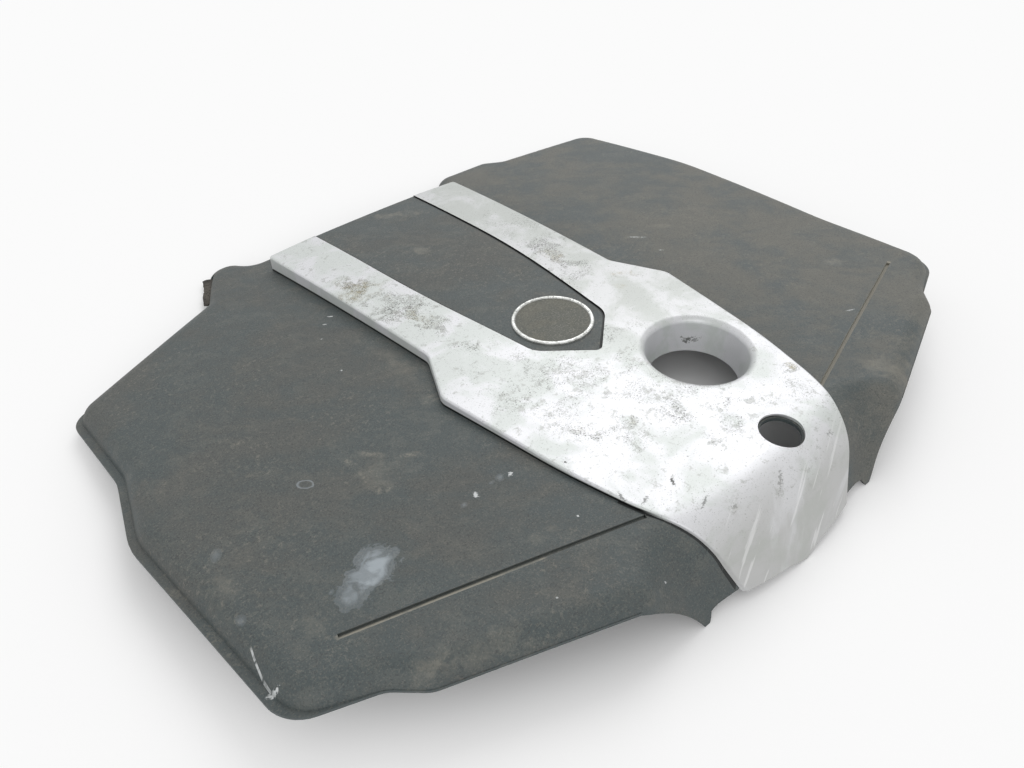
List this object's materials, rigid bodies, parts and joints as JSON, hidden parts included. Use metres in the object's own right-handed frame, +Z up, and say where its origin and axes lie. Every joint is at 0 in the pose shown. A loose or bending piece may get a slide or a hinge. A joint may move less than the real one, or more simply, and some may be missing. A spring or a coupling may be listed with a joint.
{
  "type": "engine cover",
  "caption": "Low domed engine bay cover with rolled edges, a wishbone trim with a filler well, a plain round badge, push-on rubber mounts and foam mats underneath.",
  "frame": {"origin": "bottom centre of the cover's box, on the floor it lies on", "axes": "+X to the cover's right as seen from behind the nose, -Y towards the nose, +Z up"},
  "size_m": [0.7287, 0.607, 0.065],
  "materials": {
    "shell_plastic": "fine grained, weathered",
    "trim_paint": "silver paint, worn",
    "badge_metal": "worn bright",
    "badge_face": "dull",
    "mount_rubber": "matte",
    "foam": "rough open foam"
  },
  "bodies": {
    "root": {"cover_shell": "shell_plastic", "silver_trim": "trim_paint", "badge_ring": "badge_metal", "badge_disc": "badge_face", "rubber_mount_front_left": "mount_rubber", "rubber_mount_front_right": "mount_rubber", "rubber_mount_rear_left": "mount_rubber", "rubber_mount_rear_right": "mount_rubber", "foam_mat_left": "foam", "foam_mat_right": "foam"}
  },
  "joints": []
}
